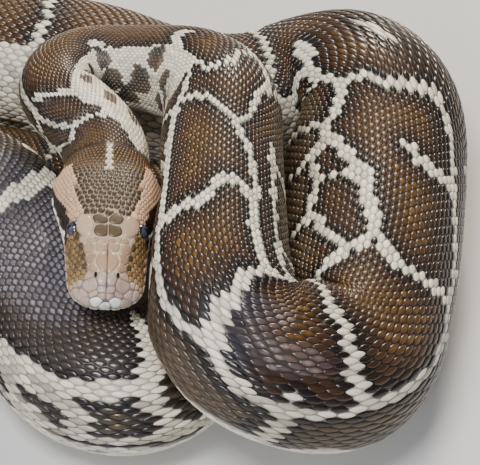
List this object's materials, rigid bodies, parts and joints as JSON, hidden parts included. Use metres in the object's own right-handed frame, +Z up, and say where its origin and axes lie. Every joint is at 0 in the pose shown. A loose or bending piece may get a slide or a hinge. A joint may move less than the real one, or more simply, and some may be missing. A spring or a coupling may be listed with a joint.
{
  "type": "coiled burmese python",
  "caption": "Life-size still model of a resting Burmese python, its blotched body piled in loops with the head laid over the coils.",
  "frame": {"origin": "centre of the bounding box's bottom face, on the floor", "axes": "+Z up; the snout points towards -Y; +X is towards the pile of coils, on the snake's left"},
  "size_m": [0.7813, 0.4815, 0.1834],
  "materials": {
    "skin_dark": "satin",
    "skin_head": "satin",
    "skin_jaw": "satin",
    "eye": "gloss"
  },
  "bodies": {
    "root": {"neck": "skin_dark", "trunk_neck_arch": "skin_dark", "trunk_front_limb_01": "skin_dark", "trunk_front_limb_02": "skin_dark", "trunk_front_bend": "skin_dark", "trunk_mid_limb": "skin_dark", "trunk_mid_rise": "skin_dark", "trunk_rear_bend": "skin_dark", "trunk_back": "skin_dark", "trunk_back_left": "skin_dark", "trunk_loop_01": "skin_dark", "trunk_loop_02": "skin_dark", "trunk_loop_03": "skin_dark", "trunk_loop_04": "skin_dark", "trunk_loop_05": "skin_dark", "trunk_turn_in": "skin_dark", "trunk_left_limb": "skin_dark", "trunk_left_bend": "skin_dark", "trunk_under_limb": "skin_dark", "trunk_rear": "skin_dark", "trunk_vent": "skin_dark", "tail_base": "skin_dark", "tail_middle": "skin_dark", "tail_tip": "skin_dark", "head": "skin_head", "lower_jaw": "skin_jaw", "eye_right": "eye", "eye_left": "eye"}
  },
  "joints": []
}
